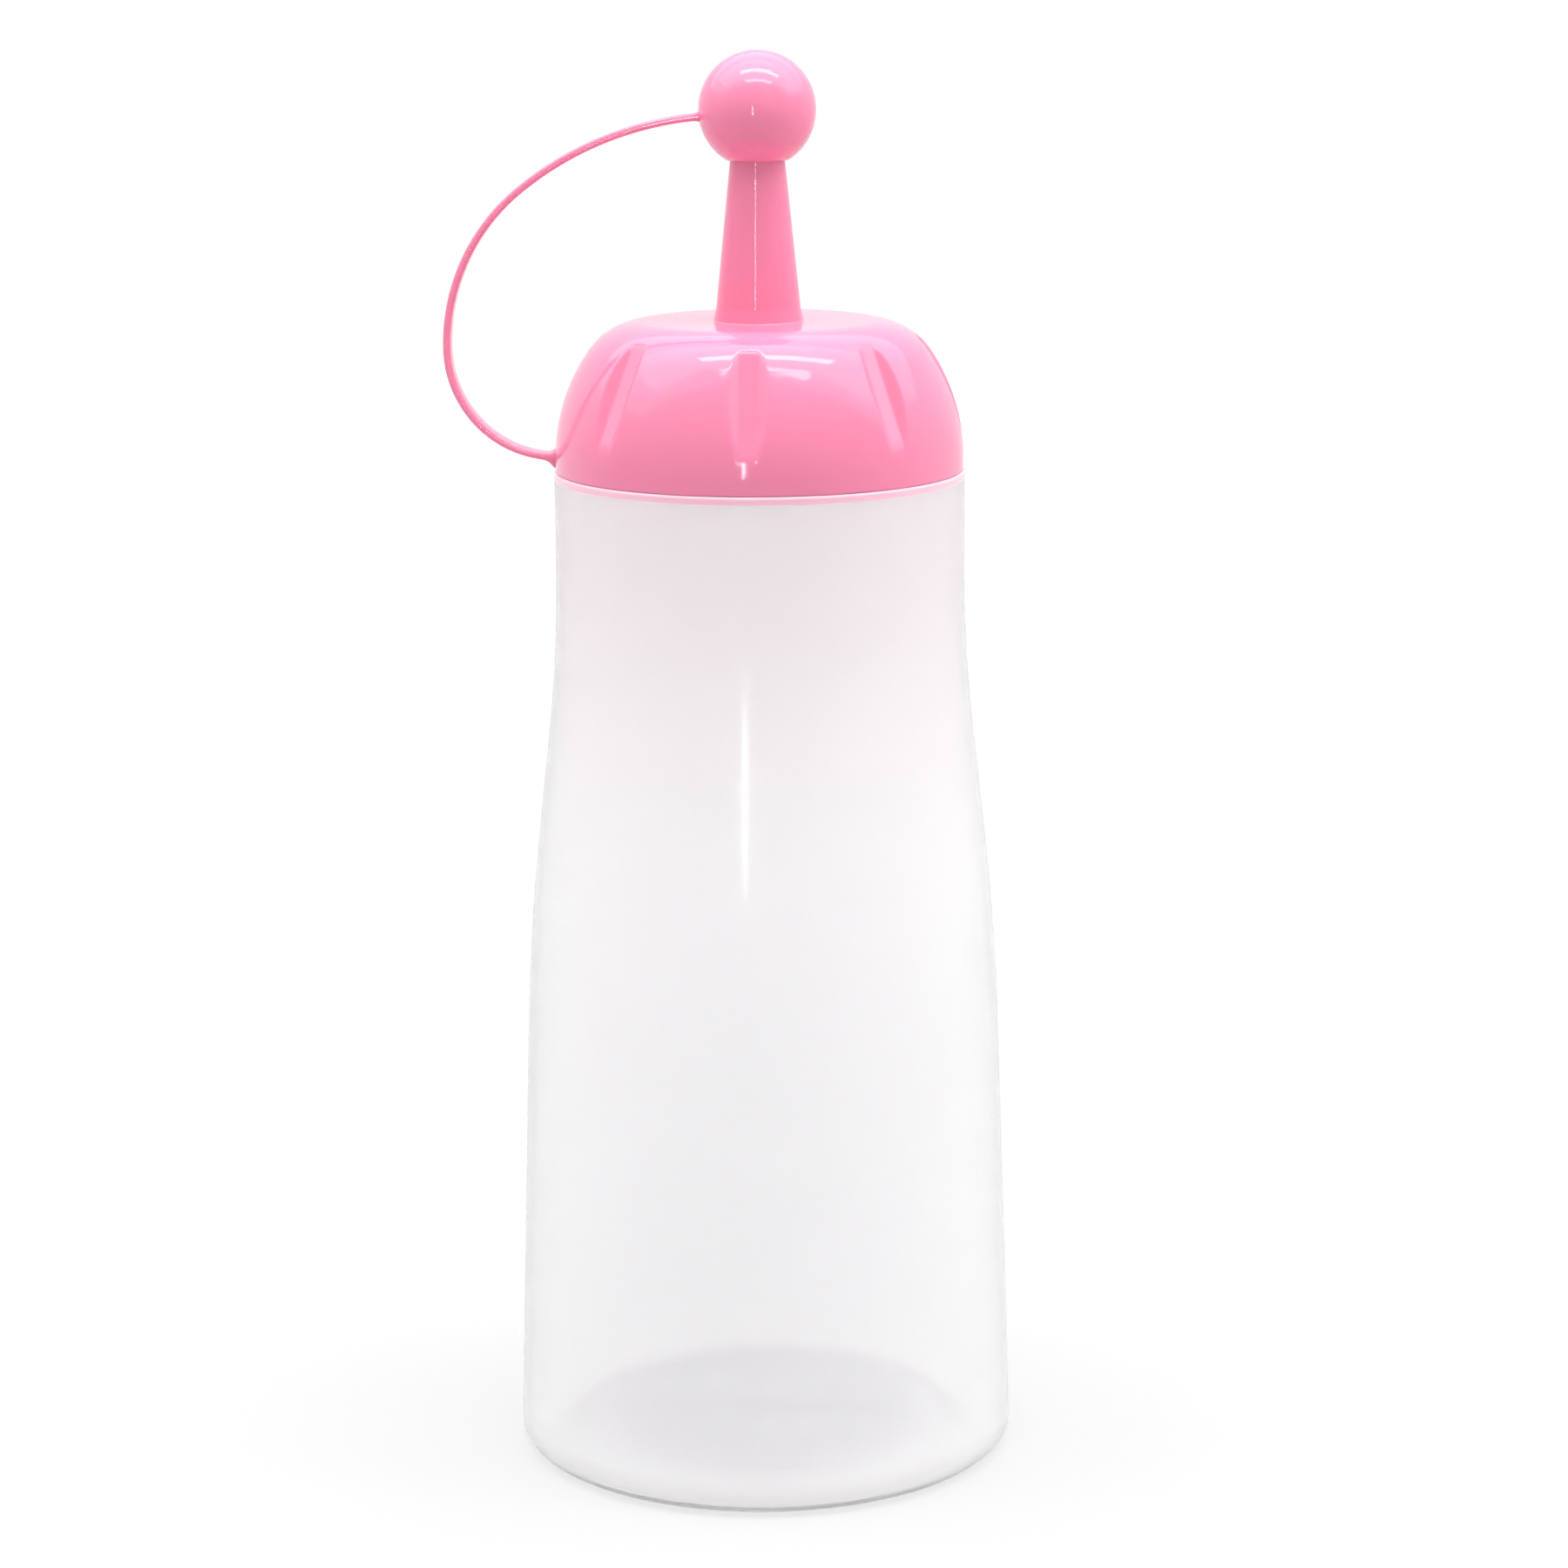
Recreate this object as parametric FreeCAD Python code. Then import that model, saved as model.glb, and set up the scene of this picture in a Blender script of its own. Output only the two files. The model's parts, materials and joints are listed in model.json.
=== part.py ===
import FreeCAD, Part
import math
import os

# A squeeze bottle for sauces: a thin body with a neck, a fluted screw cap with a conical spout, a seal ring
# between the two, and a ball-shaped tip cap that a moulded strap ties to the screw cap.
# Lengths are in millimetres. The origin is the centre of the base, +Z is up and the strap arches out to -X.

# Bottle body: a lower wall that draws in slightly, a flare, and a straight band below the cap
base_radius = 33.85
lower_height = 71.9
flare_foot_radius = 31.48
flare_foot_rounding = 350.0
flare_height = 38.5
flare_head_rounding = 200.0
band_height = 23.3
shoulder_radius = 27.15
heel_rounding = 3.0
bottle_wall = 0.9

# Bottle base: a standing ring round a pushed-up floor
standing_ring_width = 6.2
push_up_rise = 3.0
push_up_run = 3.4
push_up_rounding = 1.6

# Bottle neck: its lip stands clear of the cap's inside all round
neck_height = 10.2
neck_wall = 1.6
lip_clearance = 0.76

# Screw cap, outside: a dome whose rim stands just inside the bottle's shoulder
rim_gap = 0.3
rim_inset = 0.22
dome_side_height = 8.9
dome_side_rounding = 24.2
crown_inset = 6.94
crown_height = 19.65
crown_rounding = 9.2
crown_rise = 0.3

# Spout
spout_foot_radius = 5.7
spout_length = 25.4
spout_tip_radius = 3.1
spout_bore_radius = 4.5
spout_outlet_radius = 1.5

# Screw cap, inside
thread_room = 1.6
dome_top_wall = 2.1
seal_land_width = 1.7

# Flutes: scoops round the dome, each cut by a cylinder laid along a chord of its side
flute_count = 8
flute_foot_rise = 4.6
flute_foot_depth = 0.1
flute_top_inset = 6.44
flute_top_drop = 2.05
flute_cutter_radius = 3.7
flute_wall = 0.95

# Seal ring
seal_thickness = 1.6
seal_overhang = 0.5
seal_clearance = 0.25

# Tip cap: a ball with a tapered socket that the spout's end fills
ball_radius = 7.7
spout_entry = 4.95
socket_clearance = 0.15
socket_end_room = 0.3
ball_land_width = 0.35

# Tether strap, with a flared root at each end
strap_thickness = 1.0
strap_width = 3.0
strap_reach = 41.1
strap_reach_rise = 16.0
strap_ball_angle = 6.5
strap_dome_angle = 9.5
dome_root_rise = 1.85
dome_root_length = 2.36
dome_root_flare = 0.5
ball_root_length = 1.2
ball_root_flare = 0.35
root_depth = 1.2

# How far a cutter runs past what it cuts
overrun = 6.0

# Heights that the pieces share
flare_head_level = lower_height + flare_height
shoulder_level = flare_head_level + band_height
lip_level = shoulder_level + neck_height
rim_level = shoulder_level + rim_gap
land_level = lip_level + seal_thickness
crown_level = rim_level + crown_height
spout_foot_level = crown_level + crown_rise
spout_tip_level = spout_foot_level + spout_length
ball_land_level = spout_tip_level - spout_entry

# The line along the deepest part of a flute, and the dome's inside, one flute wall behind it
cap_radius = shoulder_radius - rim_inset
flute_foot_radius = cap_radius - flute_foot_depth
flute_foot_level = rim_level + flute_foot_rise
flute_top_radius = cap_radius - flute_top_inset
flute_top_level = spout_foot_level - flute_top_drop
flute_lean = (flute_foot_radius - flute_top_radius) / (flute_top_level - flute_foot_level)
cavity_foot_radius = flute_foot_radius - flute_wall * math.hypot(1, flute_lean)


def cavity_radius(level):
    """The inside of the dome's side at a level."""
    return cavity_foot_radius - (level - flute_foot_level) * flute_lean


# Radii that the pieces share
neck_radius = cavity_radius(lip_level) - lip_clearance
mouth_radius = neck_radius - neck_wall
cap_bore_radius = neck_radius + thread_room
spout_taper = (spout_foot_radius - spout_tip_radius) / spout_length
socket_mouth_radius = spout_tip_radius + spout_taper * spout_entry + socket_clearance
ball_land_radius = socket_mouth_radius + ball_land_width
ball_level = ball_land_level + math.sqrt(ball_radius**2 - ball_land_radius**2)

origin = FreeCAD.Vector(0, 0, 0)
up_axis = FreeCAD.Vector(0, 0, 1)
full_turn = 360


def place(across, up):
    """A point of the X-Z plane, in which every outline lies."""
    return FreeCAD.Vector(across, 0, up)


def heading(degrees):
    """A unit step in the X-Z plane, counted from +X towards +Z."""
    return place(math.cos(math.radians(degrees)), math.sin(math.radians(degrees)))


def left_of(way):
    """The unit normal to the left of a way through the X-Z plane."""
    return place(-way.z, way.x).normalize()


def corner_angle(before, corner, after):
    """Half of the angle between the two runs that meet at a corner."""
    return (before - corner).getAngle(after - corner) / 2


def rounded_wire(corners):
    """A closed wire through corners given as (across, up, rounding); a rounding ends where its runs do."""
    points = [place(across, up) for across, up, rounding in corners]
    following = points[1:] + points[:1]
    previous = points[-1:] + points[:-1]
    halves = [corner_angle(*trio) for trio in zip(previous, points, following)]
    reaches = [rounding / math.tan(half) for (_, _, rounding), half in zip(corners, halves)]
    wanted = [one + other for one, other in zip(reaches, reaches[1:] + reaches[:1])]
    fits = [
        min(1, (end - start).Length / both) if both else 1
        for start, end, both in zip(points, following, wanted)
    ]
    bends = []
    for index, point in enumerate(points):
        reach = reaches[index] * min(fits[index - 1], fits[index])
        back = (previous[index] - point).normalize()
        ahead = (following[index] - point).normalize()
        inward = back + ahead
        depth = reach * (1 / math.cos(halves[index]) - math.tan(halves[index]))
        middle = point + inward.normalize() * depth if reach else point
        bends.append((point + back * reach, middle, point + ahead * reach))
    edges = []
    for bend, next_bend in zip(bends, bends[1:] + bends[:1]):
        start, middle, end = bend
        if not start.isEqual(end, Part.Precision.confusion()):
            edges.append(Part.Arc(start, middle, end).toShape())
        if not end.isEqual(next_bend[0], Part.Precision.confusion()):
            edges.append(Part.LineSegment(end, next_bend[0]).toShape())
    return Part.Wire(edges)


def turned(wire):
    """The solid that a closed wire makes when it turns once about the bottle's axis."""
    return Part.Face(wire).revolve(origin, up_axis, full_turn)


def inset(corners, wall):
    """An open outline moved to its left by a wall, with roundings that keep the wall even."""
    points = [place(across, up) for across, up, rounding in corners]
    ways = [end - start for start, end in zip(points, points[1:])]
    normals = [left_of(way) for way in ways]
    moved = []
    for point, corner, before, after in zip(points, corners, normals[:1] + normals, normals + normals[-1:]):
        shifted = point + (before + after) * (wall / (1 + before.dot(after)))
        turns_left = before.cross(after).y <= 0
        rounding = max(corner[2] - wall, 0) if turns_left else corner[2] + wall
        moved.append((shifted.x, shifted.z, rounding if corner[2] else 0))
    return moved


def bottle():
    """The blown body: an even wall from the pushed-up floor to the shoulder, and a thicker neck."""
    ring_inside = base_radius - standing_ring_width
    outside = [
        (0, push_up_rise, 0),
        (ring_inside - push_up_run, push_up_rise, push_up_rounding),
        (ring_inside, 0, push_up_rounding),
        (base_radius, 0, heel_rounding),
        (flare_foot_radius, lower_height, flare_foot_rounding),
        (shoulder_radius, flare_head_level, flare_head_rounding),
        (shoulder_radius, shoulder_level, 0),
    ]
    neck = [
        (neck_radius, shoulder_level, 0),
        (neck_radius, lip_level, 0),
        (mouth_radius, lip_level, 0),
        (mouth_radius, shoulder_level - bottle_wall, 0),
    ]
    inside = inset(outside + neck[:1], bottle_wall)[:-1]
    return turned(rounded_wire(outside + neck + inside[::-1]))


def flutes():
    """The cutters of the flutes, evenly spaced round the dome from +X."""
    foot = place(flute_foot_radius, flute_foot_level)
    top = place(flute_top_radius, flute_top_level)
    way = (top - foot).normalize()
    start = foot - left_of(way) * flute_cutter_radius - way * overrun
    length = (top - foot).Length + overrun + overrun
    cutter = Part.makeCylinder(flute_cutter_radius, length, start, way)
    return [cutter.rotated(origin, up_axis, full_turn * index / flute_count) for index in range(flute_count)]


def screw_cap():
    """The dome with its flutes, the spout with its bore, and the strap's root at the rim."""
    land_radius = cavity_radius(land_level)
    ceiling_level = crown_level - dome_top_wall
    bore_top_level = lip_level - (thread_room - lip_clearance) / flute_lean
    profile = [
        (cap_radius, rim_level, 0),
        (cap_radius, rim_level + dome_side_height, dome_side_rounding),
        (cap_radius - crown_inset, crown_level, crown_rounding),
        (spout_foot_radius, spout_foot_level, 0),
        (spout_tip_radius, spout_tip_level, 0),
        (spout_outlet_radius, spout_tip_level, 0),
        (spout_bore_radius, ceiling_level, 0),
        (cavity_radius(ceiling_level), ceiling_level, 0),
        (land_radius - seal_land_width, land_level, 0),
        (land_radius, land_level, 0),
        (cap_bore_radius, bore_top_level, 0),
        (cap_bore_radius, rim_level, 0),
    ]
    dome = turned(rounded_wire(profile)).cut(flutes())
    return dome.fuse(strap_root(*dome_end(), dome_root_length, dome_root_flare)).removeSplitter()


def seal_ring():
    """The soft ring that the cap presses on the neck's lip."""
    inside = mouth_radius - seal_overhang
    outside = cavity_radius(land_level) - seal_clearance
    return turned(rounded_wire([
        (inside, lip_level, 0),
        (outside, lip_level, 0),
        (outside, land_level, 0),
        (inside, land_level, 0),
    ]))


def tip_cap():
    """The ball, flattened where it sits over the spout, with its socket and the strap's root."""
    crown = place(0, ball_level + ball_radius)
    side = place(ball_radius, ball_level)
    land = place(ball_land_radius, ball_land_level)
    mouth = place(socket_mouth_radius, ball_land_level)
    end_level = spout_tip_level + socket_end_room
    end = place(spout_tip_radius + socket_clearance - spout_taper * socket_end_room, end_level)
    middle = place(0, end_level)
    wire = Part.Wire(
        [Part.Arc(crown, side, land).toShape()]
        + list(Part.makePolygon([land, mouth, end, middle, crown]).Edges)
    )
    return turned(wire).fuse(strap_root(*ball_end(), ball_root_length, ball_root_flare)).removeSplitter()


def ball_end():
    """Where the strap leaves its root on the ball, and its way from there into the ball."""
    out = heading(180 + strap_ball_angle)
    return place(0, ball_level) + out * (ball_radius + ball_root_length), -out


def dome_end():
    """Where the strap meets its root on the dome's rim, and its way from there into the dome."""
    spot = place(-cap_radius - dome_root_length, rim_level + dome_root_rise)
    return spot, heading(-strap_dome_angle)


def arc_middle(start, way, end):
    """The middle of the arc that leaves a start along a unit way and reaches an end."""
    chord = end - start
    along = FreeCAD.Vector(chord).normalize()
    lean = (way + along).normalize()
    return start + lean * (chord.Length / 2 / lean.dot(along))


def end_way(start, way, end):
    """The unit way in which the arc from a start along a way runs through its end."""
    along = (end - start).normalize()
    return along * (2 * along.dot(way)) - way


def join_arcs(start, way, end, last_way):
    """The point, and the way there, where two equal-legged tangent arcs meet between two ends."""
    chord = end - start
    both = way + last_way
    turn = 2 * (1 - way.dot(last_way))
    leg = (math.sqrt(chord.dot(both) ** 2 + turn * chord.dot(chord)) - chord.dot(both)) / turn
    joint = (start + end + (way - last_way) * leg) / 2
    return joint, end_way(start, way, joint)


def strap_path():
    """The strap's middle line, from the ball to the dome, as the ends of tangent arcs with their ways."""
    ball_spot, into_ball = ball_end()
    dome_spot, into_dome = dome_end()
    first = (ball_spot, -into_ball)
    outermost = (place(-strap_reach, rim_level + strap_reach_rise), heading(-90))
    last = (dome_spot, into_dome)
    return [first, join_arcs(*first, *outermost), outermost, join_arcs(*outermost, *last), last]


def beside(start, way, end, offset):
    """The arc from a start along a way to an end, moved to its left by an offset."""
    middle = arc_middle(start, way, end)
    last = end_way(start, way, end)
    return Part.Arc(
        start + left_of(way) * offset,
        middle + left_of(end - start) * offset,
        end + left_of(last) * offset,
    ).toShape()


def strap_solid(edges):
    """A solid as wide as the strap on a closed outline."""
    face = Part.Face(Part.Wire(Part.__sortEdges__(edges)))
    face.translate(FreeCAD.Vector(0, -strap_width / 2, 0))
    return face.extrude(FreeCAD.Vector(0, strap_width, 0))


def strap_root(spot, way, length, flare):
    """The flared root of the strap: it starts at a spot, runs along a way and ends inside its piece."""
    side = left_of(way) * (strap_thickness / 2)
    wide = left_of(way) * (strap_thickness / 2 + flare)
    deep = spot + way * length
    buried = deep + way * root_depth
    edges = []
    for hand in (1, -1):
        near = spot + side * hand
        far = deep + wide * hand
        edges.append(Part.Arc(near, arc_middle(near, way, far), far).toShape())
        edges.append(Part.LineSegment(far, buried + wide * hand).toShape())
    edges.append(Part.LineSegment(spot + side, spot - side).toShape())
    edges.append(Part.LineSegment(buried + wide, buried - wide).toShape())
    return strap_solid(edges)


def tether_strap():
    """The ribbon between its two roots, along four tangent arcs."""
    path = strap_path()
    half = strap_thickness / 2
    edges = []
    for (start, way), (end, _) in zip(path, path[1:]):
        edges.append(beside(start, way, end, half))
        edges.append(beside(start, way, end, -half))
    for spot, way in (path[0], path[-1]):
        across = left_of(way) * half
        edges.append(Part.LineSegment(spot + across, spot - across).toShape())
    return strap_solid(edges)


os.makedirs("parts", exist_ok=True)
for piece in (bottle, seal_ring, screw_cap, tip_cap, tether_strap):
    piece().exportStep(f"parts/{piece.__name__}.step")
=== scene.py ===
import json
import math
import bmesh
import bpy
from mathutils import Matrix, Vector


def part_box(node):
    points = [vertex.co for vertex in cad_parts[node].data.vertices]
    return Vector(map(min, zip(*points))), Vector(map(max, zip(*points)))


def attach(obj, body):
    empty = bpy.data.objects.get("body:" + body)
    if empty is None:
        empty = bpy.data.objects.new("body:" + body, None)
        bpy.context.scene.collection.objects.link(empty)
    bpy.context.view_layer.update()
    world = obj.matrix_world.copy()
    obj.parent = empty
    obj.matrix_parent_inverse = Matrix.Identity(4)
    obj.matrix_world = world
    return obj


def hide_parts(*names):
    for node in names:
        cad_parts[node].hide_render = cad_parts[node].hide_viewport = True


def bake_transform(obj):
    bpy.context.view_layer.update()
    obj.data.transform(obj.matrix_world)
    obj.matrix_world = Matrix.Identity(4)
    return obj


# A squeeze bottle for sauces, dressed over its CAD frame: a milky bottle, a fluted pink screw cap with
# a spout, a seal ring under the cap, and a ball-shaped tip cap on a thin strap.

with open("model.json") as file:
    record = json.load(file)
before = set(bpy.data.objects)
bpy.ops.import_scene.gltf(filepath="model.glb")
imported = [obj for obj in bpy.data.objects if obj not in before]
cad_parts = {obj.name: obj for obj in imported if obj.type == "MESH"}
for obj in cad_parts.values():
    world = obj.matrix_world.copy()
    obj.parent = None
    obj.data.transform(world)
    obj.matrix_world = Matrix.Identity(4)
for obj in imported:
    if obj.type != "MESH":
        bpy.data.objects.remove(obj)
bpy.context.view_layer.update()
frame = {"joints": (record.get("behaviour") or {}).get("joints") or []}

# Sizes are in millimetres, in the part's own frame, and meshes turn them into metres
mm = 0.001


def corners_of(node):
    """The lowest and the highest corner of a CAD node, in millimetres."""
    return [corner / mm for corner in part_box(node)]


_, bottle_high = corners_of("bottle")
_, seal_high = corners_of("seal_ring")
cap_low, cap_high = corners_of("screw_cap")
tip_low, tip_high = corners_of("tip_cap")

# Levels and radii that the frame gives
lip_level = bottle_high.z
land_level = seal_high.z
rim_level = cap_low.z
spout_tip_level = cap_high.z
ball_land_level = tip_low.z
cap_radius = cap_high.x
seal_radius = seal_high.x
ball_radius = tip_high.x
ball_level = tip_high.z - ball_radius

# Bottle
base_radius = 33.8
lower_height = 71.9
flare_foot_radius = 31.48
flare_foot_rounding = 350.0
flare_head_level = 110.4
flare_head_rounding = 200.0
shoulder_radius = 27.15
rim_gap = 0.02
shoulder_rounding = 0.35
heel_rounding = 3.0
bottle_wall = 0.9
standing_ring_width = 6.2
push_up_rise = 3.0
push_up_run = 3.4
push_up_rounding = 1.6
neck_wall = 1.6
lip_clearance = 0.76
lip_rounding = 0.4
inner_rounding = 0.6
pinch_length = 34.0
pinch_width = 0.9
pinch_depth = 0.35
pinch_bluntness = 4
pinch_rings = 16
pinch_sides = 8
shoulder_level = rim_level - rim_gap

# Screw cap
rim_rounding = 0.15
dome_side_height = 8.9
dome_side_rounding = 24.2
crown_inset = 6.94
crown_height = 19.65
crown_rounding = 9.2
crown_rise = 0.3
spout_foot_radius = 5.7
spout_foot_rounding = 0.2
spout_flare = 0.25
spout_flare_height = 1.7
spout_flare_rounding = 4.0
crown_dish = 0.4
spout_tip_radius = 3.1
spout_tip_rounding = 0.4
spout_bore_radius = 4.5
spout_entry_rounding = 1.0
spout_outlet_radius = 1.5
thread_room = 1.6
dome_top_wall = 2.1
seal_land_width = 1.7
ceiling_rounding = 1.2
crown_level = rim_level + crown_height
spout_foot_level = crown_level + crown_rise

# Flutes, as flat-floored cuts along a chord of the dome's side
flute_count = 8
flute_sector = math.tau / flute_count
flute_foot_rise = 4.6
flute_foot_depth = 0.1
flute_top_inset = 6.44
flute_top_drop = 2.05
flute_wall = 0.95
flute_floor_width = 2.3
flute_slope = 0.76
flute_reach = 3.7
flute_corner = 0.25
flute_edge = 0.3

# Screw threads
thread_pitch = 5.0
thread_turns = 1.25
thread_root_width = 2.0
thread_crest_width = 0.8
thread_sink = 0.15
neck_thread_height = 1.0
neck_thread_start = 136.0
cap_thread_height = 1.05
cap_thread_start = 135.2
thread_fade = 25.0

# Seal ring
seal_overhang = 0.5
seal_rounding = 0.25

# Tip cap
socket_clearance = 0.15
socket_end_room = 0.3
ball_land_width = 0.35
socket_rounding = 0.12

# Tether strap
strap_thickness = 1.0
strap_width = 3.0
strap_edge_share = 0.9
strap_reach = 41.1
strap_reach_rise = 16.0
strap_ball_angle = 6.5
strap_dome_angle = 9.5
dome_root_rise = 1.85
dome_root_length = 2.36
dome_root_flare = 1.1
ball_root_length = 1.2
ball_root_flare = 0.15
root_depth = 1.2
root_flare_power = 4

# The line along the deepest part of a flute
flute_foot = Vector((cap_radius - flute_foot_depth, rim_level + flute_foot_rise))
flute_top = Vector((cap_radius - flute_top_inset, spout_foot_level - flute_top_drop))
flute_lean = (flute_foot.x - flute_top.x) / (flute_top.y - flute_foot.y)


def cavity_radius(level):
    """The inside of the dome's side at a level, one flute wall behind the flutes."""
    return flute_foot.x - flute_wall * math.hypot(1, flute_lean) - (level - flute_foot.y) * flute_lean


# Radii that the pieces share
neck_radius = cavity_radius(lip_level) - lip_clearance
mouth_radius = neck_radius - neck_wall
cap_bore_radius = neck_radius + thread_room
spout_taper = (spout_foot_radius - spout_tip_radius) / (spout_tip_level - spout_foot_level)

# Steps of the meshes
coarse_step = 1.6
fine_step = 0.45
edge_hold = 0.1
axis_reach = 0.0001
arc_step = math.radians(7)
fewest_arc_steps = 3
body_columns = 240
ball_columns = 120
flute_zone = math.radians(8.2)
flute_columns = 44
between_columns = 14

# Camera, as fitted to the photograph
camera_place = Vector((2.98, -555.18, 209.88))
camera_orbit = math.radians(3.0)
camera_pitch = math.radians(12.057)
camera_roll = math.radians(-0.336)
camera_lens = 97.04
camera_sensor = 36.0

# Colours, each as the two ends of its faint clouding
pink_colours = ((0.755, 0.2, 0.335), (0.785, 0.22, 0.36))
wall_colours = ((0.992, 0.984, 0.991), (0.998, 0.989, 0.996))
# painted pink glow: the cap's light on the upper bottle
painted_cap_glow_colours = ((0.984, 0.925, 0.945), (0.988, 0.935, 0.953))
# painted shade at the heel, near the floor
painted_heel_shade_colours = ((0.95, 0.938, 0.945), (0.958, 0.946, 0.953))
# painted shade on the floor inside, seen through the wall
painted_floor_shade_colours = ((0.68, 0.67, 0.72), (0.72, 0.71, 0.76))
# painted pink glow band: the cap's light on the shoulder just under its rim
painted_shoulder_glow_colours = ((0.9, 0.52, 0.62), (0.92, 0.55, 0.65))
seal_colours = ((0.78, 0.77, 0.74), (0.84, 0.83, 0.8))

# Where the bottle's colour and clearness change, each as a start and the width of the change
# How far the painted shade on the floor inside reaches from the bottle's bottom centre, and its fade
inner_floor_reach = 20.0
inner_floor_fade = 8.0
# Where the painted shade at the heel ends, and how far it fades out
heel_level = 4.0
heel_fade = 1.5
# Where the painted pink glow from the cap begins on the bottle, and how far up it fades in
cap_glow_level = 75.0
cap_glow_fade = 53.0
clear_level = 0.5
clear_fade = 4.5
# The painted pink glow band just under the cap's rim, and the milkier wall there that lets it show
brim_height = 1.25
brim_level = shoulder_level - brim_height
brim_fade = 0.4
brim_top_fade = 0.16
heel_clear_share = 0.8
wall_clear_share = 0.67
shoulder_glow_milk_share = 0.57

# Depths of the waves and the grain in the surfaces, and of the light's scatter under them
pink_wave_depth = 0.06
pink_grain_depth = 0.01
pink_scatter_depth = 1.5
wall_wave_depth = 0.2
wall_grain_depth = 0.02
wall_scatter_depth = 1.0
seal_grain_depth = 0.02

# Floor: its greys, and the glow that keeps it white further out
floor_reach = 20000.0
floor_grey = 0.55
shadow_grey = 0.14
near_glow = 0.72
far_glow = 0.97
near_glow_radius = 50.0
far_glow_radius = 400.0

# Surround: its light at the front, the back and the sides, over the parts of a direction along Y and X
front_light = 0.28
back_light = 0.62
front_part = -0.7
back_part = 0.3
left_light = 0.4
right_light = 0.65
side_start_part = 0.4
side_end_part = 0.9

# Lamps, of which all but the strip hang overhead and face straight down
ceiling_place = (100.0, 225.0, 900.0)
ceiling_size = (3900.0, 1550.0)
ceiling_power = 21.0
soft_box_place = (200.0, -25.0, 895.0)
soft_box_size = (2400.0, 650.0)
soft_box_power = 7.35
back_tube_place = (72.0, -75.0, 890.0)
back_tube_size = (785.0, 105.0)
back_tube_power = 2.4
front_tube_place = (75.0, -400.0, 890.0)
front_tube_size = (682.0, 95.0)
front_tube_power = 1.7
strip_place = (-64.0, -690.0, 183.5)
strip_target = (0.0, 0.0, 120.0)
strip_size = (16.0, 213.0)
strip_power = 0.3


def bend(before, corner, after, rounding, step):
    """The points of the arc that rounds a corner between the points before and after it."""
    if not rounding:
        return [corner]
    back = (before - corner).normalized()
    ahead = (after - corner).normalized()
    half = back.angle(ahead) / 2
    centre = corner + (back + ahead).normalized() * (rounding / math.sin(half))
    first = corner + back * (rounding / math.tan(half)) - centre
    sweep = math.pi - 2 * half
    turn = sweep if back.x * ahead.y - back.y * ahead.x < 0 else -sweep
    count = max(fewest_arc_steps, math.ceil(sweep / arc_step), math.ceil(rounding * sweep / step))
    return [centre + Matrix.Rotation(turn * index / count, 2) @ first for index in range(count + 1)]


def run(start, end, step):
    """The points between two ends of a straight run, with one close to each end to hold the shading."""
    length = (end - start).length
    if length < 4 * edge_hold:
        return []
    count = math.ceil(length / step)
    places = [edge_hold] + [length * index / count for index in range(1, count)] + [length - edge_hold]
    return [start.lerp(end, place / length) for place in places]


def outline(corners, step, closed=False):
    """Points along an outline of (across, up, rounding) corners, about a step apart."""
    points = [Vector((across, up)) for across, up, rounding in corners]
    last = len(corners) - 1
    bends = []
    for index, (across, up, rounding) in enumerate(corners):
        ends_here = not closed and index in (0, last)
        after = points[(index + 1) % len(points)]
        bends.append(bend(points[index - 1], points[index], after, 0 if ends_here else rounding, step))
    traced = []
    for index, stretch in enumerate(bends):
        traced += stretch
        if closed or index < last:
            traced += run(stretch[-1], bends[(index + 1) % len(bends)][0], step)
    return traced


def inset(corners, wall):
    """An open outline moved to its left by a wall, with roundings that keep the wall even."""
    points = [Vector((across, up)) for across, up, rounding in corners]
    ways = [(end - start).normalized() for start, end in zip(points, points[1:])]
    normals = [Vector((-way.y, way.x)) for way in ways]
    moved = []
    for (across, up, rounding), before, after in zip(corners, normals[:1] + normals, normals + normals[-1:]):
        shifted = Vector((across, up)) + (before + after) * (wall / (1 + before.dot(after)))
        turns_left = before.x * after.y - before.y * after.x >= 0
        kept = max(rounding - wall, inner_rounding) if turns_left else rounding + wall
        moved.append((shifted.x, shifted.y, kept if rounding else 0))
    return moved


def piece(name, vertices, faces, body, material, slot):
    """A smooth mesh object from places in millimetres, on a body and with a material; the slot is not used.
    """
    mesh = bpy.data.meshes.new(name)
    mesh.from_pydata([place * mm for place in vertices], [], faces)
    shell = bmesh.new()
    shell.from_mesh(mesh)
    bmesh.ops.recalc_face_normals(shell, faces=shell.faces)
    shell.to_mesh(mesh)
    shell.free()
    mesh.shade_smooth()
    mesh.materials.append(material)
    made = bpy.data.objects.new(name, mesh)
    bpy.context.scene.collection.objects.link(made)
    if body:
        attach(made, body)
    return made


def turned(points, columns, closed=False):
    """The vertices and faces of an outline turned about the bottle's axis, one column at each angle."""
    vertices = []
    rows = []
    for point in points:
        first = len(vertices)
        if abs(point.x) < axis_reach:
            vertices.append(Vector((0, 0, point.y)))
            rows.append([first] * len(columns))
        else:
            for angle in columns:
                vertices.append(Vector((point.x * math.cos(angle), point.x * math.sin(angle), point.y)))
            rows.append(list(range(first, len(vertices))))
    faces = []
    for row, above in zip(rows, rows[1:] + (rows[:1] if closed else [])):
        for index in range(len(columns)):
            beside = (index + 1) % len(columns)
            ring = (row[index], row[beside], above[beside], above[index])
            faces.append(tuple(dict.fromkeys(ring)))
    return vertices, faces


def even_columns(count):
    """Angles all round, evenly spaced."""
    return [math.tau * index / count for index in range(count)]


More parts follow.
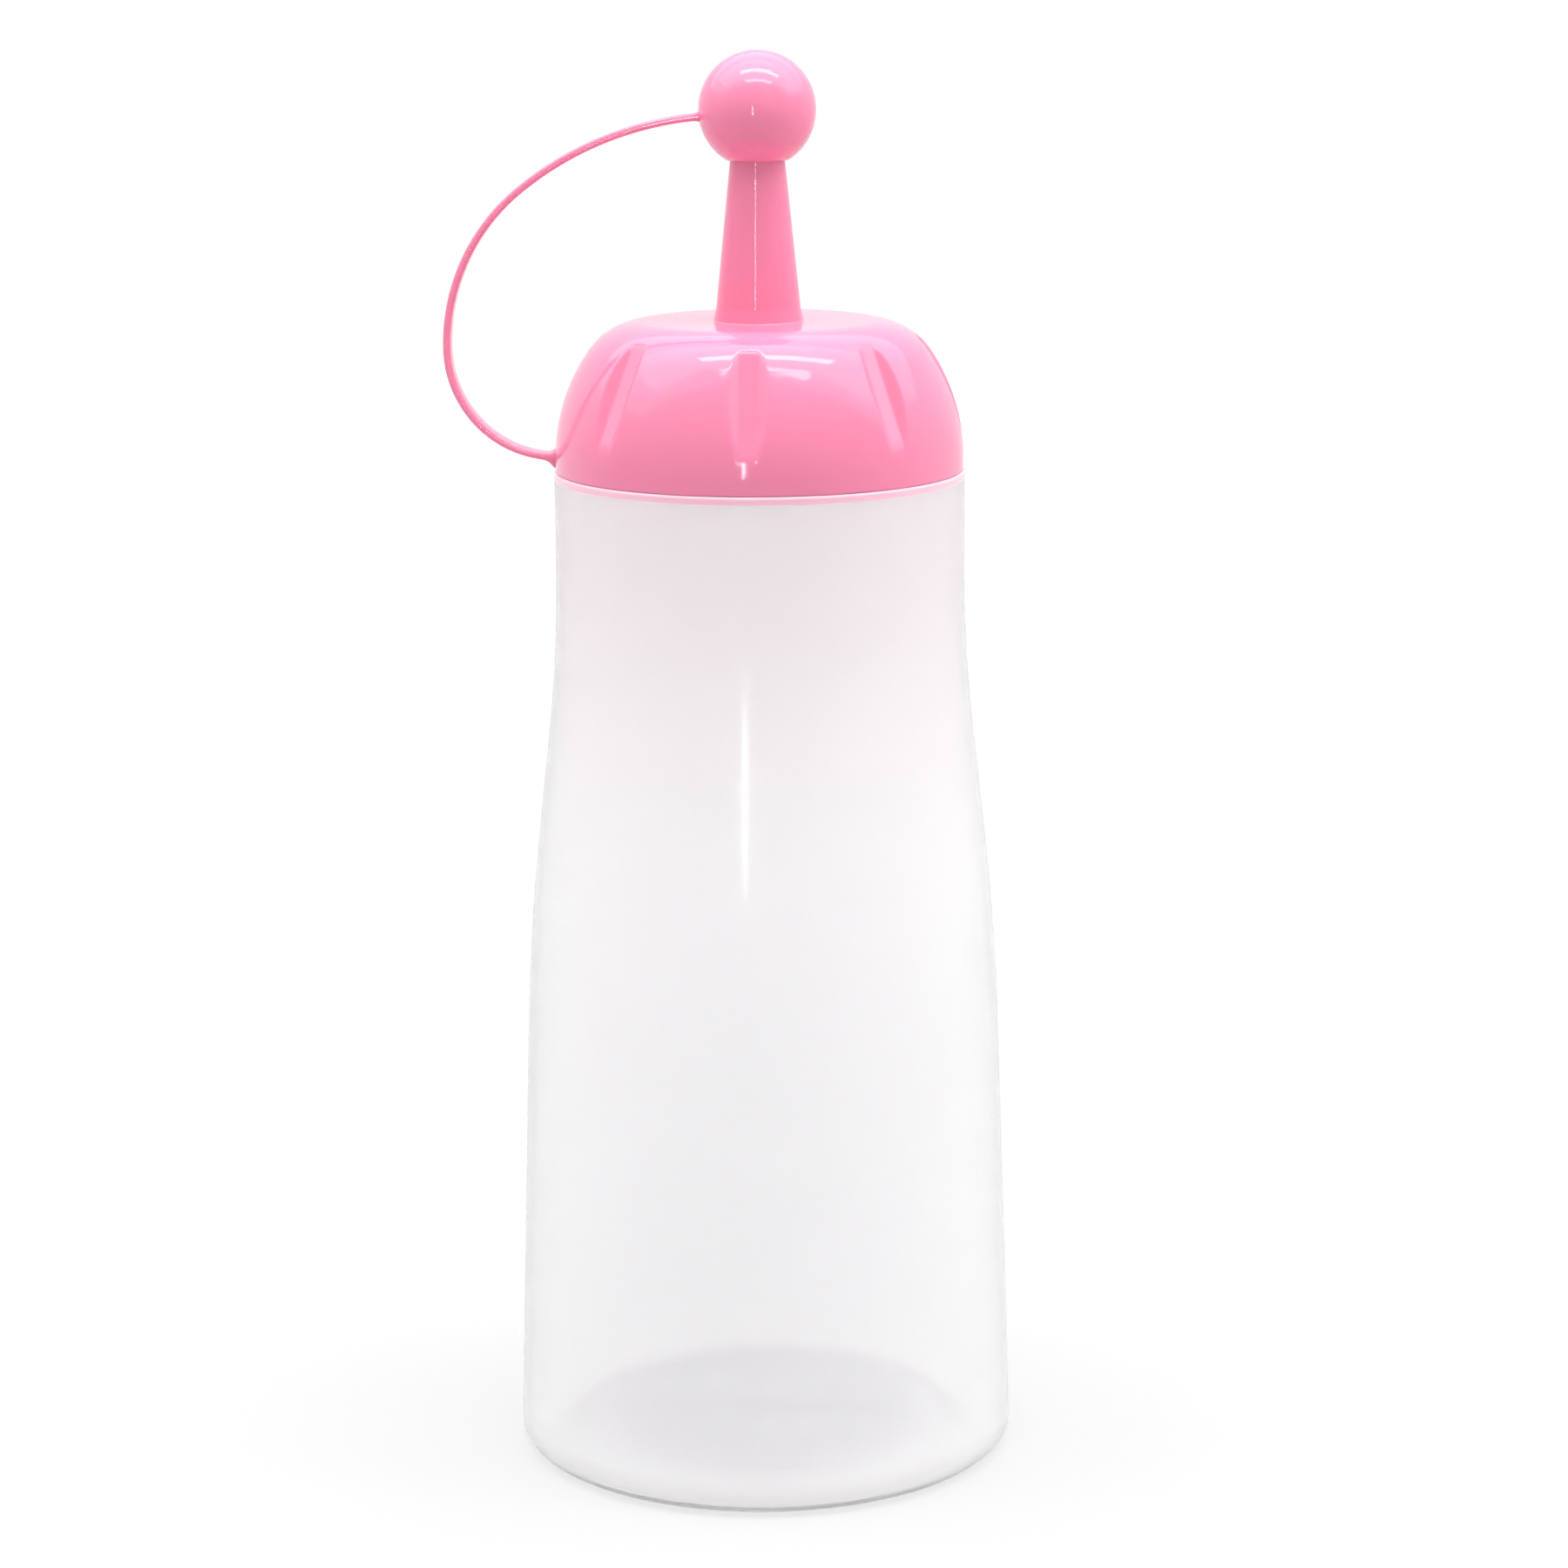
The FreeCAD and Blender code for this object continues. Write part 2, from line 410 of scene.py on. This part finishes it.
def swept(rings):
    """The vertices and faces of a closed solid through rings of places, with both ends closed."""
    size = len(rings[0])
    vertices = [place for ring in rings for place in ring]
    faces = [tuple(range(size)), tuple(range(len(vertices) - size, len(vertices)))]
    for row in range(len(rings) - 1):
        for index in range(size):
            beside = (index + 1) % size
            low = row * size
            faces.append((low + index, low + beside, low + size + beside, low + size + index))
    return vertices, faces


def bottle_outline():
    """The bottle's wall as a closed outline: outside, neck and inside."""
    ring_inside = base_radius - standing_ring_width
    outside = [
        (0, push_up_rise, 0),
        (ring_inside - push_up_run, push_up_rise, push_up_rounding),
        (ring_inside, 0, push_up_rounding),
        (base_radius, 0, heel_rounding),
        (flare_foot_radius, lower_height, flare_foot_rounding),
        (shoulder_radius, flare_head_level, flare_head_rounding),
        (shoulder_radius, shoulder_level, shoulder_rounding),
    ]
    neck = [
        (neck_radius, shoulder_level, shoulder_rounding),
        (neck_radius, lip_level, lip_rounding),
        (mouth_radius, lip_level, lip_rounding),
        (mouth_radius, shoulder_level - bottle_wall, inner_rounding),
    ]
    inside = inset(outside + neck[:1], bottle_wall)[:-1]
    return outline(outside + neck + inside[::-1], coarse_step)


def thread_ridge(root_radius, crest_radius, start_level, start_angle):
    """A helical ridge between two radii that fades in and out at its ends."""
    count = round(thread_turns * body_columns / 2)
    sink = math.copysign(thread_sink, root_radius - crest_radius)
    rings = []
    for index in range(count + 1):
        angle = math.tau * thread_turns * index / count
        level = start_level + thread_pitch * angle / math.tau
        from_end = math.degrees(min(angle, math.tau * thread_turns - angle))
        rise = math.sin(min(1, from_end / thread_fade) * math.pi / 2)
        crest = root_radius + (crest_radius - root_radius) * rise
        around = Vector((math.cos(angle + start_angle), math.sin(angle + start_angle), 0))
        section = [
            (root_radius + sink, -thread_root_width / 2),
            (crest, -thread_crest_width / 2),
            (crest, thread_crest_width / 2),
            (root_radius + sink, thread_root_width / 2),
        ]
        rings.append([around * radius + Vector((0, 0, level + rise_up)) for radius, rise_up in section])
    return swept(rings)


def pinch_line():
    """The short closed seam that blow moulding leaves across the pushed-up floor."""
    rings = []
    for index in range(pinch_rings + 1):
        share = 2 * index / pinch_rings - 1
        size = math.sqrt(max(1 - share**pinch_bluntness, 0)) + edge_hold
        ring = []
        for angle in even_columns(pinch_sides):
            across = pinch_width / 2 * size * math.cos(angle)
            level = push_up_rise + pinch_depth * size * math.sin(angle)
            ring.append(Vector((share * pinch_length / 2, across, level)))
        rings.append(ring)
    return swept(rings)


def cap_outline():
    """The cap's section as a closed outline: dome, spout, bore and inside."""
    ceiling_level = crown_level - dome_top_wall
    land_radius = cavity_radius(land_level)
    flare_level = spout_foot_level - crown_dish + spout_flare_height
    flare_radius = spout_tip_radius + spout_taper * (spout_tip_level - flare_level)
    bore_top_level = lip_level - (thread_room - lip_clearance) / flute_lean
    dome = [
        (cap_radius, rim_level, rim_rounding),
        (cap_radius, rim_level + dome_side_height, dome_side_rounding),
        (cap_radius - crown_inset, crown_level, crown_rounding),
        (spout_foot_radius + spout_flare, spout_foot_level - crown_dish, spout_foot_rounding),
        (flare_radius, flare_level, spout_flare_rounding),
        (spout_tip_radius, spout_tip_level, spout_tip_rounding),
        (spout_outlet_radius, spout_tip_level, spout_tip_rounding),
        (spout_bore_radius, ceiling_level, spout_entry_rounding),
        (cavity_radius(ceiling_level), ceiling_level, ceiling_rounding),
        (land_radius - seal_land_width, land_level, 0),
        (land_radius, land_level, 0),
        (cap_bore_radius, bore_top_level, 0),
        (cap_bore_radius, rim_level, rim_rounding),
    ]
    return outline(dome, fine_step, closed=True)


def cap_columns():
    """Angles all round, close together across the flutes."""
    gap = flute_sector - 2 * flute_zone
    angles = []
    for centre in even_columns(flute_count):
        angles += [centre + flute_zone * (2 * step / flute_columns - 1) for step in range(flute_columns)]
        angles += [centre + flute_zone + gap * step / between_columns for step in range(between_columns)]
    return angles


def eased(value, reach):
    """A value where it is above zero, with the step in its slope rounded over a reach each side of zero."""
    return max(value, 0) + max(reach - abs(value), 0) ** 2 / (4 * reach)


def scooped(place):
    """A place on the cap, moved inwards where a flute's cutter takes it away."""
    nearest = round(math.atan2(place.y, place.x) / flute_sector)
    turn = Matrix.Rotation(nearest * flute_sector, 3, "Z")
    local = turn.inverted() @ place
    if abs(local.y) >= flute_reach:
        return place
    way = (flute_top - flute_foot).normalized()
    out = Vector((way.y, -way.x))
    height = (Vector((local.x, local.z)) - flute_foot).dot(out)
    depth = height - flute_slope * eased(abs(local.y) - flute_floor_width / 2, flute_corner)
    return turn @ (local - Vector((out.x, 0, out.y)) * eased(depth, flute_edge))


def screw_cap_mesh():
    """The dome with its flutes, the spout and the inside."""
    vertices, faces = turned(cap_outline(), cap_columns(), closed=True)
    return [scooped(place) for place in vertices], faces


def ball_outline():
    """The ball from its top to the land, and the socket from there to its end."""
    mouth = spout_tip_radius + spout_taper * (spout_tip_level - ball_land_level) + socket_clearance
    end = spout_tip_radius + socket_clearance - spout_taper * socket_end_room
    end_level = spout_tip_level + socket_end_room
    lowest = math.acos((ball_land_level - ball_level) / ball_radius)
    count = math.ceil(lowest / (arc_step / 2))
    ball = []
    for index in range(count + 1):
        angle = lowest * index / count
        ball.append(Vector((ball_radius * math.sin(angle), ball_level + ball_radius * math.cos(angle))))
    socket = outline(
        [
            (mouth + ball_land_width, ball_land_level, 0),
            (mouth, ball_land_level, socket_rounding),
            (end, end_level, socket_rounding),
            (0, end_level, 0),
        ],
        coarse_step,
    )
    return ball + socket[1:]


def heading(degrees):
    """A unit step in the strap's plane, counted from +X towards +Z."""
    return Vector((math.cos(math.radians(degrees)), math.sin(math.radians(degrees))))


def end_way(start, way, end):
    """The unit way in which the arc from a start along a way runs through its end."""
    along = (end - start).normalized()
    return along * (2 * along.dot(way)) - way


def join_arcs(start, way, end, last_way):
    """The point, and the way there, where two equal-legged tangent arcs meet between two ends."""
    chord = end - start
    both = way + last_way
    turn = 2 * (1 - way.dot(last_way))
    leg = (math.sqrt(chord.dot(both) ** 2 + turn * chord.dot(chord)) - chord.dot(both)) / turn
    joint = (start + end + (way - last_way) * leg) / 2
    return joint, end_way(start, way, joint)


def arc_stations(start, way, end):
    """Places and ways along the arc that leaves a start along a way and reaches an end."""
    chord = end - start
    side = way.x * chord.y - way.y * chord.x
    swing = 2 * math.copysign(way.angle(chord), side)
    left = Vector((-way.y, way.x))
    radius = chord.length_squared / (2 * chord.dot(left))
    centre = start + left * radius
    count = math.ceil(abs(swing * radius) / (coarse_step / 2))
    stations = []
    for index in range(count):
        turn = Matrix.Rotation(swing * index / count, 2)
        stations.append((centre + turn @ (start - centre), turn @ way))
    return stations


def root_stations(spot, way, hand, length, flare):
    """Stations along a root of the strap, which thickens towards its piece and ends inside it."""
    stations = []
    count = math.ceil((length + root_depth) / fine_step)
    for index in range(count + 1):
        reach = (length + root_depth) * index / count
        half = strap_thickness / 2 + flare * min(reach / length, 1) ** root_flare_power
        stations.append((spot + way * (hand * reach), way, half))
    return stations


def strap_stations():
    """Places, ways and half thicknesses along the strap, from inside the ball to inside the dome."""
    out_of_ball = heading(180 + strap_ball_angle)
    into_dome = heading(-strap_dome_angle)
    ball_spot = Vector((0, ball_level)) + out_of_ball * (ball_radius + ball_root_length)
    dome_spot = Vector((-cap_radius - dome_root_length, rim_level + dome_root_rise))
    outermost = (Vector((-strap_reach, rim_level + strap_reach_rise)), heading(-90))
    first = (ball_spot, out_of_ball)
    last = (dome_spot, into_dome)
    path = [first, join_arcs(*first, *outermost), outermost, join_arcs(*outermost, *last), last]
    half = strap_thickness / 2
    stations = root_stations(ball_spot, out_of_ball, -1, ball_root_length, ball_root_flare)[:0:-1]
    for (start, way), (end, _) in zip(path, path[1:]):
        stations += [(place, along, half) for place, along in arc_stations(start, way, end)]
    return stations + root_stations(dome_spot, into_dome, 1, dome_root_length, dome_root_flare)


def strap_mesh():
    """The ribbon with rounded edges, swept along its stations."""
    wide = strap_width / 2
    rings = []
    for place, way, half in strap_stations():
        left = Vector((-way.y, way.x))
        corners = [Vector(corner) for corner in ((wide, -half), (wide, half), (-wide, half), (-wide, -half))]
        ring = []
        for before, corner, after in zip(corners[-1:] + corners, corners, corners[1:] + corners):
            for point in bend(before, corner, after, half * strap_edge_share, strap_width):
                spot = place + left * point.y
                ring.append(Vector((spot.x, point.x, spot.y)))
        rings.append(ring)
    return swept(rings)


def shader(name):
    """A new material, its node tree and its main shader."""
    material = bpy.data.materials.new(name)
    material.use_nodes = True
    tree = material.node_tree
    return material, tree, tree.nodes["Principled BSDF"]


def noise(tree, scale, detail):
    """A noise texture on the piece's own coordinates, as its 0 to 1 factor."""
    place = tree.nodes.new("ShaderNodeTexCoord")
    texture = tree.nodes.new("ShaderNodeTexNoise")
    texture.inputs["Scale"].default_value = scale
    texture.inputs["Detail"].default_value = detail
    tree.links.new(place.outputs["Object"], texture.inputs["Vector"])
    return texture.outputs["Fac"]


def ramp(tree, factor, low, high, start=0.0, end=1.0):
    """A factor mapped from the range start to end on to the values low to high."""
    mapped = tree.nodes.new("ShaderNodeMapRange")
    mapped.inputs["From Min"].default_value = start
    mapped.inputs["From Max"].default_value = end
    mapped.inputs["To Min"].default_value = low
    mapped.inputs["To Max"].default_value = high
    tree.links.new(factor, mapped.inputs["Value"])
    return mapped.outputs["Result"]


def clouding(tree, factor):
    """A noise spread out to reach both ends of a pair of colours."""
    return ramp(tree, factor, 0, 1, start=0.3, end=0.7)


def mixed(tree, factor, low, high):
    """A colour between two colours."""
    mix = tree.nodes.new("ShaderNodeMix")
    mix.data_type = "RGBA"
    mix.inputs["A"].default_value = (*low, 1)
    mix.inputs["B"].default_value = (*high, 1)
    tree.links.new(factor, mix.inputs["Factor"])
    return mix.outputs["Result"]


def blended(tree, factor, low, high):
    """A colour between two colours that other nodes give."""
    mix = tree.nodes.new("ShaderNodeMix")
    mix.data_type = "RGBA"
    tree.links.new(factor, mix.inputs["Factor"])
    tree.links.new(low, mix.inputs["A"])
    tree.links.new(high, mix.inputs["B"])
    return mix.outputs["Result"]


def height_share(tree, level, fade):
    """0 below a level on the piece, smoothly up to 1 over the fade above it, both in millimetres."""
    place = tree.nodes.new("ShaderNodeTexCoord")
    split = tree.nodes.new("ShaderNodeSeparateXYZ")
    tree.links.new(place.outputs["Object"], split.inputs[0])
    mapped = tree.nodes.new("ShaderNodeMapRange")
    mapped.interpolation_type = "SMOOTHSTEP"
    mapped.inputs["From Min"].default_value = level * mm
    mapped.inputs["From Max"].default_value = (level + fade) * mm
    tree.links.new(split.outputs["Z"], mapped.inputs["Value"])
    return mapped.outputs["Result"]


def distance(tree):
    """How far a spot is from the piece's origin, in metres."""
    place = tree.nodes.new("ShaderNodeTexCoord")
    length = tree.nodes.new("ShaderNodeVectorMath")
    length.operation = "LENGTH"
    tree.links.new(place.outputs["Object"], length.inputs[0])
    return length.outputs["Value"]


def difference(tree, first, second):
    """One share less another."""
    less = tree.nodes.new("ShaderNodeMath")
    less.operation = "SUBTRACT"
    tree.links.new(first, less.inputs[0])
    tree.links.new(second, less.inputs[1])
    return less.outputs[0]


def bump(tree, height, depth, strength, below=None):
    """A bump of a height texture, as deep as stated in millimetres, on top of any bump below it."""
    node = tree.nodes.new("ShaderNodeBump")
    node.inputs["Strength"].default_value = strength
    node.inputs["Distance"].default_value = depth * mm
    tree.links.new(height, node.inputs["Height"])
    if below:
        tree.links.new(below, node.inputs["Normal"])
    return node.outputs["Normal"]


def pink_plastic():
    """Glossy pink moulded plastic with faint flow marks."""
    material, tree, main = shader("pink_plastic")
    flow = clouding(tree, noise(tree, scale=45, detail=4))
    tree.links.new(mixed(tree, flow, *pink_colours), main.inputs["Base Color"])
    gloss = ramp(tree, noise(tree, scale=160, detail=5), low=0.05, high=0.1)
    tree.links.new(gloss, main.inputs["Roughness"])
    wave = bump(tree, noise(tree, scale=120, detail=2), pink_wave_depth, strength=0.5)
    grain = bump(tree, noise(tree, scale=1500, detail=2), pink_grain_depth, strength=0.6, below=wave)
    tree.links.new(grain, main.inputs["Normal"])
    main.inputs["IOR"].default_value = 1.46
    main.inputs["Subsurface Weight"].default_value = 0.3
    main.inputs["Subsurface Radius"].default_value = (1.0, 0.35, 0.45)
    main.inputs["Subsurface Scale"].default_value = pink_scatter_depth * mm
    return material


def milky_colour(tree, at_shoulder_glow):
    """The bottle's colour: pale, with a painted pink glow from the cap towards the top, painted shade at the
    heel and on the floor inside, and a painted pink glow band just under the cap's rim.
    """
    cloud = clouding(tree, noise(tree, scale=30, detail=3))
    floor_end = inner_floor_reach + inner_floor_fade
    off_floor = ramp(tree, distance(tree), 0, 1, start=inner_floor_reach * mm, end=floor_end * mm)
    # Painted shade on the floor inside, near the bottle's bottom centre
    floor = mixed(tree, cloud, *painted_floor_shade_colours)
    # Painted shade at the heel, below the heel level
    base = blended(tree, off_floor, floor, mixed(tree, cloud, *painted_heel_shade_colours))
    above_heel = height_share(tree, heel_level, heel_fade)
    wall = blended(tree, above_heel, base, mixed(tree, cloud, *wall_colours))
    near_cap = height_share(tree, cap_glow_level, cap_glow_fade)
    # Painted pink glow from the cap, stronger towards the top
    cap_glow = blended(tree, near_cap, wall, mixed(tree, cloud, *painted_cap_glow_colours))
    # Painted pink glow band on the shoulder, just under the cap's rim
    return blended(tree, at_shoulder_glow, cap_glow, mixed(tree, cloud, *painted_shoulder_glow_colours))


def milky_plastic():
    """Milky translucent polyethylene with the gentle waves of a blown wall."""
    material, tree, main = shader("milky_plastic")
    # The painted pink glow band just under the cap's rim, where the wall is also made less clear
    above_shoulder_glow = height_share(tree, shoulder_level - brim_top_fade / 2, brim_top_fade)
    at_shoulder_glow = difference(tree, height_share(tree, brim_level, brim_fade), above_shoulder_glow)
    tree.links.new(milky_colour(tree, at_shoulder_glow), main.inputs["Base Color"])
    clear = ramp(tree, height_share(tree, clear_level, clear_fade), heel_clear_share, wall_clear_share)
    milk = ramp(tree, at_shoulder_glow, 0, shoulder_glow_milk_share)
    tree.links.new(difference(tree, clear, milk), main.inputs["Transmission Weight"])
    frost = ramp(tree, noise(tree, scale=90, detail=4), low=0.21, high=0.27)
    tree.links.new(frost, main.inputs["Roughness"])
    wave = bump(tree, noise(tree, scale=55, detail=2), wall_wave_depth, strength=0.4)
    grain = bump(tree, noise(tree, scale=900, detail=3), wall_grain_depth, strength=0.5, below=wave)
    tree.links.new(grain, main.inputs["Normal"])
    main.inputs["IOR"].default_value = 1.12
    main.inputs["Coat Weight"].default_value = 0.6
    main.inputs["Coat Roughness"].default_value = 0.12
    main.inputs["Subsurface Weight"].default_value = 0.6
    main.inputs["Subsurface Radius"].default_value = (1.0, 1.0, 1.0)
    main.inputs["Subsurface Scale"].default_value = wall_scatter_depth * mm
    return material


def seal_rubber():
    """Soft off-white silicone."""
    material, tree, main = shader("seal_rubber")
    tint = mixed(tree, noise(tree, scale=140, detail=4), *seal_colours)
    tree.links.new(tint, main.inputs["Base Color"])
    satin = ramp(tree, noise(tree, scale=300, detail=3), low=0.5, high=0.65)
    tree.links.new(satin, main.inputs["Roughness"])
    grain = bump(tree, noise(tree, scale=2500, detail=3), seal_grain_depth, strength=0.5)
    tree.links.new(grain, main.inputs["Normal"])
    return material


def ray_share(tree, first, *others):
    """1 for rays of any of the named kinds and 0 for all others."""
    path = tree.nodes.new("ShaderNodeLightPath")
    total = path.outputs[first]
    for name in others:
        most = tree.nodes.new("ShaderNodeMath")
        most.operation = "MAXIMUM"
        tree.links.new(total, most.inputs[0])
        tree.links.new(path.outputs[name], most.inputs[1])
        total = most.outputs[0]
    return total


def choice(tree, share, without, with_share):
    """A shader that goes from one to another with a share."""
    mix = tree.nodes.new("ShaderNodeMixShader")
    tree.links.new(share, mix.inputs["Fac"])
    tree.links.new(without.outputs[0], mix.inputs[1])
    tree.links.new(with_share.outputs[0], mix.inputs[2])
    return mix


def matt(tree, grey):
    """A plain matt shader of a grey."""
    plain = tree.nodes.new("ShaderNodeBsdfDiffuse")
    plain.inputs["Color"].default_value = (grey, grey, grey, 1)
    return plain


def lay_floor():
    """A white floor that keeps a faint shadow."""
    reach = floor_reach * mm
    mesh = bpy.data.meshes.new("floor")
    corners = [Vector((x * reach, y * reach, 0)) for x, y in ((-1, -1), (1, -1), (1, 1), (-1, 1))]
    mesh.from_pydata(corners, [], [(0, 1, 2, 3)])
    floor = bpy.data.objects.new("floor", mesh)
    bpy.context.scene.collection.objects.link(floor)
    material, tree, main = shader("floor_white")
    tree.nodes.remove(main)
    plain = matt(tree, floor_grey)
    glow = tree.nodes.new("ShaderNodeEmission")
    fade = ramp(tree, distance(tree), near_glow, far_glow, near_glow_radius * mm, far_glow_radius * mm)
    tree.links.new(fade, glow.inputs["Strength"])
    seen = tree.nodes.new("ShaderNodeAddShader")
    tree.links.new(matt(tree, shadow_grey).outputs[0], seen.inputs[0])
    tree.links.new(glow.outputs[0], seen.inputs[1])
    white = tree.nodes.new("ShaderNodeEmission")
    direct = choice(tree, ray_share(tree, "Is Camera Ray"), plain, seen)
    every = choice(tree, ray_share(tree, "Is Glossy Ray", "Is Transmission Ray"), direct, white)
    tree.links.new(every.outputs[0], tree.nodes["Material Output"].inputs["Surface"])
    mesh.materials.append(material)


def light_world():
    """A white surround that lights the object less from the front than from the back and the sides."""
    world = bpy.data.worlds.new("studio")
    bpy.context.scene.world = world
    world.use_nodes = True
    tree = world.node_tree
    place = tree.nodes.new("ShaderNodeTexCoord")
    split = tree.nodes.new("ShaderNodeSeparateXYZ")
    tree.links.new(place.outputs["Generated"], split.inputs[0])
    level = ramp(tree, split.outputs["Y"], front_light, back_light, front_part, back_part)
    for side, light in ((-1, left_light), (1, right_light)):
        extra = ramp(tree, split.outputs["X"], 0, light, side_start_part * side, side_end_part * side)
        total = tree.nodes.new("ShaderNodeMath")
        tree.links.new(level, total.inputs[0])
        tree.links.new(extra, total.inputs[1])
        level = total.outputs[0]
    shown = ray_share(tree, "Is Camera Ray", "Is Glossy Ray", "Is Transmission Ray")
    strength = tree.nodes.new("ShaderNodeMix")
    tree.links.new(shown, strength.inputs["Factor"])
    tree.links.new(level, strength.inputs["A"])
    strength.inputs["B"].default_value = 1.0
    tree.links.new(strength.outputs["Result"], tree.nodes["Background"].inputs["Strength"])
    tree.nodes["Background"].inputs["Color"].default_value = (1, 1, 1, 1)


def area_light(name, place, target, size, power, through=True):
    """A rectangular lamp at a place, facing a target, that rays through clear plastic meet or pass by."""
    lamp = bpy.data.lights.new(name, "AREA")
    lamp.shape = "RECTANGLE"
    lamp.size, lamp.size_y = (side * mm for side in size)
    lamp.energy = power
    made = bpy.data.objects.new(name, lamp)
    way = Vector(target) - Vector(place)
    facing = way.to_track_quat("-Z", "Y").to_matrix().to_4x4()
    made.matrix_world = Matrix.Translation(Vector(place) * mm) @ facing
    made.visible_transmission = through
    bpy.context.scene.collection.objects.link(made)


def overhead_light(name, place, size, power, through=True):
    """A lamp that faces straight down."""
    area_light(name, place, (*place[:2], 0), size, power, through)


def light_studio():
    """A ceiling, a soft box and two tubes overhead, and a narrow strip beside the camera."""
    overhead_light("ceiling", ceiling_place, ceiling_size, ceiling_power)
    overhead_light("soft_box", soft_box_place, soft_box_size, soft_box_power)
    overhead_light("back_tube", back_tube_place, back_tube_size, back_tube_power, through=False)
    overhead_light("front_tube", front_tube_place, front_tube_size, front_tube_power, through=False)
    area_light("side_strip", strip_place, strip_target, strip_size, strip_power, through=False)


def set_camera():
    """The camera at the photograph's place and angle."""
    camera = bpy.data.cameras.new("camera")
    camera.sensor_width = camera_sensor
    camera.lens = camera_lens
    made = bpy.data.objects.new("camera", camera)
    orbit = Matrix.Rotation(camera_orbit, 4, "Z")
    tilt = Matrix.Rotation(math.pi / 2 - camera_pitch, 4, "X") @ Matrix.Rotation(camera_roll, 4, "Z")
    made.matrix_world = orbit @ Matrix.Translation(camera_place * mm) @ tilt
    bpy.context.scene.collection.objects.link(made)
    bpy.context.scene.camera = made


def dress_bottle():
    """The bottle's shell, the thread on its neck and the seam under its floor."""
    milky = milky_plastic()
    wall = turned(bottle_outline(), even_columns(body_columns))
    shell = piece("bottle_shell", *wall, "bottle", milky, "bottle_plastic")
    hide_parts("bottle")
    neck_ridge = thread_ridge(neck_radius, neck_radius + neck_thread_height, neck_thread_start, 0)
    piece("neck_thread", *neck_ridge, "bottle", milky, "bottle_plastic")
    piece("pinch_seam", *pinch_line(), "bottle", milky, "bottle_plastic")


def dress_seal():
    """The soft ring between the neck's lip and the cap."""
    corners = [
        (mouth_radius - seal_overhang, lip_level, seal_rounding),
        (seal_radius, lip_level, seal_rounding),
        (seal_radius, land_level, seal_rounding),
        (mouth_radius - seal_overhang, land_level, seal_rounding),
    ]
    ring = turned(outline(corners, coarse_step, closed=True), even_columns(body_columns), closed=True)
    gasket = piece("seal_gasket", *ring, "seal_ring", seal_rubber(), "seal_rubber")
    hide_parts("seal_ring")


def dress_cap(pink):
    """The fluted cap with its spout, and the thread inside it, half a pitch from the neck's."""
    dome = piece("fluted_cap", *screw_cap_mesh(), "screw_cap", pink, "cap_plastic")
    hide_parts("screw_cap")
    lag = (cap_thread_start - neck_thread_start + thread_pitch / 2) / thread_pitch * math.tau
    cap_ridge = thread_ridge(cap_bore_radius, cap_bore_radius - cap_thread_height, cap_thread_start, lag)
    piece("cap_thread", *cap_ridge, "screw_cap", pink, "cap_plastic")


def dress_tip(pink):
    """The ball that closes the spout."""
    globe = turned(ball_outline(), even_columns(ball_columns))
    ball = piece("ball_cap", *globe, "tip_cap", pink, "cap_plastic")
    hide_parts("tip_cap")


def dress_strap(pink):
    """The ribbon between the cap and the ball, on no body, with its mesh fixed in place."""
    ribbon = piece("tether_ribbon", *strap_mesh(), None, pink, "cap_plastic")
    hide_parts("tether_strap")
    joint = next(joint for joint in frame["joints"] if joint["name"] == "tip_cap_swing")
    pivot = Vector(joint["pos_m"])
    fold = Vector((pivot.x, pivot.z)) / mm
    _, along, _ = min(strap_stations(), key=lambda station: (fold - station[0]).length)
    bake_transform(ribbon)


def dress():
    """Every piece of the object, each on its body but the strap."""
    pink = pink_plastic()
    dress_bottle()
    dress_seal()
    dress_cap(pink)
    dress_tip(pink)
    dress_strap(pink)


dress()
lay_floor()
light_world()
light_studio()
set_camera()
bpy.context.scene.view_settings.view_transform = "Standard"
